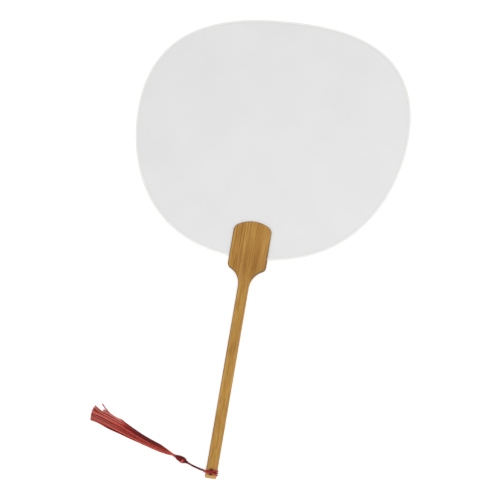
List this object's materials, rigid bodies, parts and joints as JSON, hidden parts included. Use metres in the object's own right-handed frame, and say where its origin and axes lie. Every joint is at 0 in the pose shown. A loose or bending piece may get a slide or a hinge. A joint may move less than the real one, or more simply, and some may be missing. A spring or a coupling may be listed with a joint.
{
  "type": "round hand fan",
  "caption": "Rigid round hand fan: a white paper leaf on a bent bamboo hoop, gripped in the slot of a flat bamboo handle, with a red tassel hitched through the handle's end.",
  "frame": {"origin": "on the surface that the fan lies on, under the middle of the rigid fan's box, tassel not counted", "axes": "+Z is the front face's normal, +Y runs from the handle's end to the leaf's top, +X is to the right of the leaf seen from the front"},
  "size_m": [0.266, 0.448, 0.0087],
  "materials": {
    "handle_bamboo": "clear-coated carbonised bamboo, brown grain along the handle",
    "hoop_bamboo": "bare split bamboo",
    "leaf_paper": "matte white paper",
    "binding_paper": "smooth white paper strip",
    "cord_thread": "twisted dark red cord",
    "knot_thread": "wound maroon thread",
    "skirt_thread": "glossy red rayon threads"
  },
  "bodies": {
    "fan": {"handle": "handle_bamboo", "hoop": "hoop_bamboo", "leaf_front": "leaf_paper", "leaf_back": "leaf_paper", "rim_binding": "binding_paper", "cord_hitch": "cord_thread"},
    "cord": {"hanging_cord": "cord_thread"},
    "knot": {"tassel_knot": "knot_thread", "neck_wrap": "knot_thread"},
    "skirt": {"tassel_lock_1": "skirt_thread", "tassel_lock_2": "skirt_thread", "tassel_lock_3": "skirt_thread", "tassel_lock_4": "skirt_thread", "tassel_lock_5": "skirt_thread"}
  },
  "joints": [
    {"name": "cord_swing", "type": "hinge", "parent": "fan", "child": "cord", "pos_m": [-0.0063, -0.2182, 0.0062], "axis": [0, 0, 1], "range_deg": [-45, 75]},
    {"name": "tassel_lift", "type": "hinge", "parent": "cord", "child": "knot", "pos_m": [-0.0242, -0.2127, 0.003], "axis": [0.3256, 0.9455, 0], "range_deg": [0, 80]},
    {"name": "skirt_sway", "type": "hinge", "parent": "knot", "child": "skirt", "pos_m": [-0.03838, -0.20782, 0.003], "axis": [0, 0, 1], "range_deg": [-25, 25]}
  ]
}
